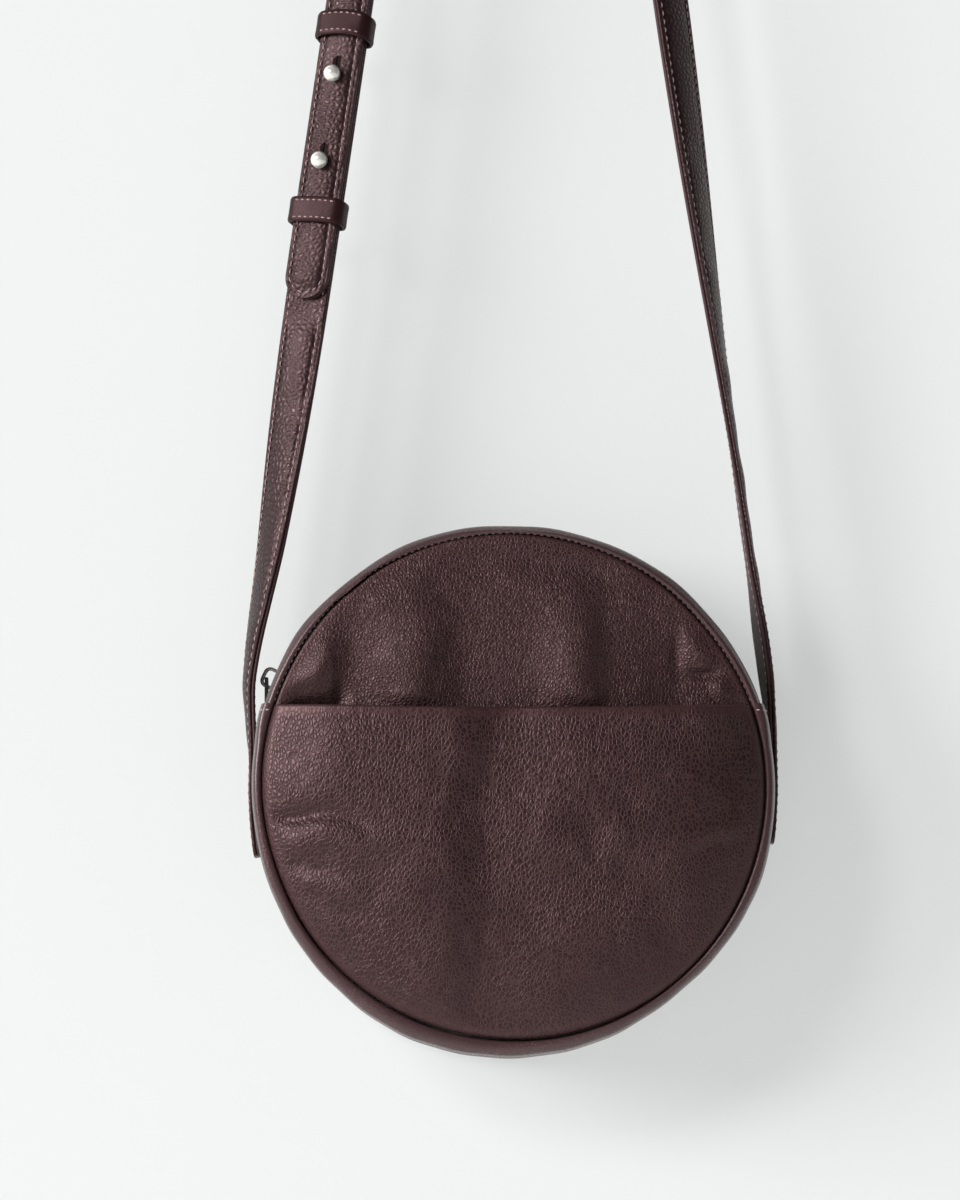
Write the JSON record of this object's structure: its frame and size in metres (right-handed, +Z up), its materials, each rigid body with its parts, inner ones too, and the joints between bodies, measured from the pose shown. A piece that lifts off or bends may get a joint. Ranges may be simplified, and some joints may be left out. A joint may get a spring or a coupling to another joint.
{
  "type": "round crossbody bag",
  "caption": "Round leather crossbody bag with a front slip pocket, a zip over its top and a shoulder strap buttoned on ball studs.",
  "frame": {"origin": "on the strap's underside, at the top of its loop, where it hangs on a peg", "axes": "+Z up, +X towards the viewer's right, -Y towards the viewer, so the bag's front faces -Y"},
  "size_m": [0.2179, 0.0744, 0.7936],
  "materials": {
    "leather": "satin",
    "leather_dark": "matte",
    "lining": "matte",
    "tape": "matte",
    "gunmetal": "satin",
    "nickel": "satin"
  },
  "bodies": {
    "strap": {"strap_short_face": "leather", "strap_short_backing": "leather_dark", "strap_long_face": "leather", "strap_long_backing": "leather_dark", "stud_upper": "nickel", "stud_lower": "nickel", "stud_screw_upper": "nickel", "stud_screw_lower": "nickel"},
    "bag": {"front_panel_lower": "leather", "pocket_panel": "leather", "pocket_lining": "lining", "back_panel": "leather", "bottom_gusset": "leather", "top_gusset_back": "leather", "zip_tape_back": "tape", "zip_teeth_back": "gunmetal", "zip_end_left": "gunmetal", "zip_end_right": "gunmetal", "strap_end_left": "leather", "strap_end_right": "leather", "side_patch_left": "leather_dark", "side_patch_right": "leather_dark", "lining_front_lower": "lining", "lining_back": "lining", "lining_bottom_gusset": "lining", "lining_top_gusset_back": "lining"},
    "mouth_flap": {"front_panel_upper": "leather", "top_gusset_front": "leather", "zip_tape_front": "tape", "zip_teeth_front": "gunmetal", "lining_front_upper": "lining", "lining_top_gusset_front": "lining"},
    "zip_slider": {"zip_slider_body": "gunmetal", "zip_slider_bridge": "nickel"},
    "zip_pull": {"zip_pull_tab": "gunmetal"},
    "upper_keeper": {"keeper_upper": "leather"},
    "lower_keeper": {"keeper_lower": "leather"}
  },
  "joints": [
    {"name": "bag_swing", "type": "hinge", "parent": "strap", "child": "bag", "pos_m": [0, 0, -0.673], "axis": [1, 0, 0], "range_deg": [-90, 90]},
    {"name": "mouth_open", "type": "hinge", "parent": "bag", "child": "mouth_flap", "pos_m": [0, -0.0346, -0.652], "axis": [1, 0, 0], "range_deg": [0, 35]},
    {"name": "zip_run", "type": "hinge", "parent": "bag", "child": "zip_slider", "pos_m": [0, 0, -0.685], "axis": [0, 1, 0], "range_deg": [0, 125]},
    {"name": "pull_swing", "type": "hinge", "parent": "zip_slider", "child": "zip_pull", "pos_m": [-0.10073, 0, -0.63939], "axis": [0, 1, 0], "range_deg": [-2, 14]},
    {"name": "upper_keeper_slide", "type": "slide", "parent": "strap", "child": "upper_keeper", "axis": [0.1433, 0, 0.9897], "range_m": [-0.007, 0.011]},
    {"name": "lower_keeper_slide", "type": "slide", "parent": "strap", "child": "lower_keeper", "axis": [0.1433, 0, 0.9897], "range_m": [-0.022, 0.01]}
  ]
}
